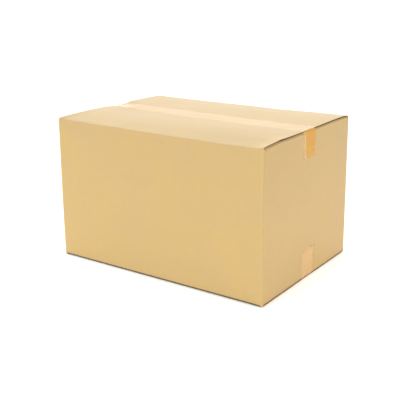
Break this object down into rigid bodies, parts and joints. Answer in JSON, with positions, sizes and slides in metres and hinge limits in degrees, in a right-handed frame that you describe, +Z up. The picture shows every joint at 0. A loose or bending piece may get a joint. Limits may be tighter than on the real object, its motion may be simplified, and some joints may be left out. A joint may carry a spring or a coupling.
{
  "type": "closed cardboard box",
  "caption": "Closed, empty slotted carton folded from one sheet of corrugated board, its top and base flaps held shut by packing tape.",
  "frame": {"origin": "middle of the footprint, on the surface the box stands on", "axes": "+X along the long sides towards the taped end seen in the picture, +Y towards the back long side, +Z up"},
  "size_m": [0.4702, 0.325, 0.2865],
  "materials": {
    "kraft_board": "uncoated kraft liner, matte",
    "packing_tape": "clear amber film, glossy"
  },
  "bodies": {
    "root": {"carton": "kraft_board", "top_tape": "packing_tape", "bottom_tape": "packing_tape"}
  },
  "joints": []
}
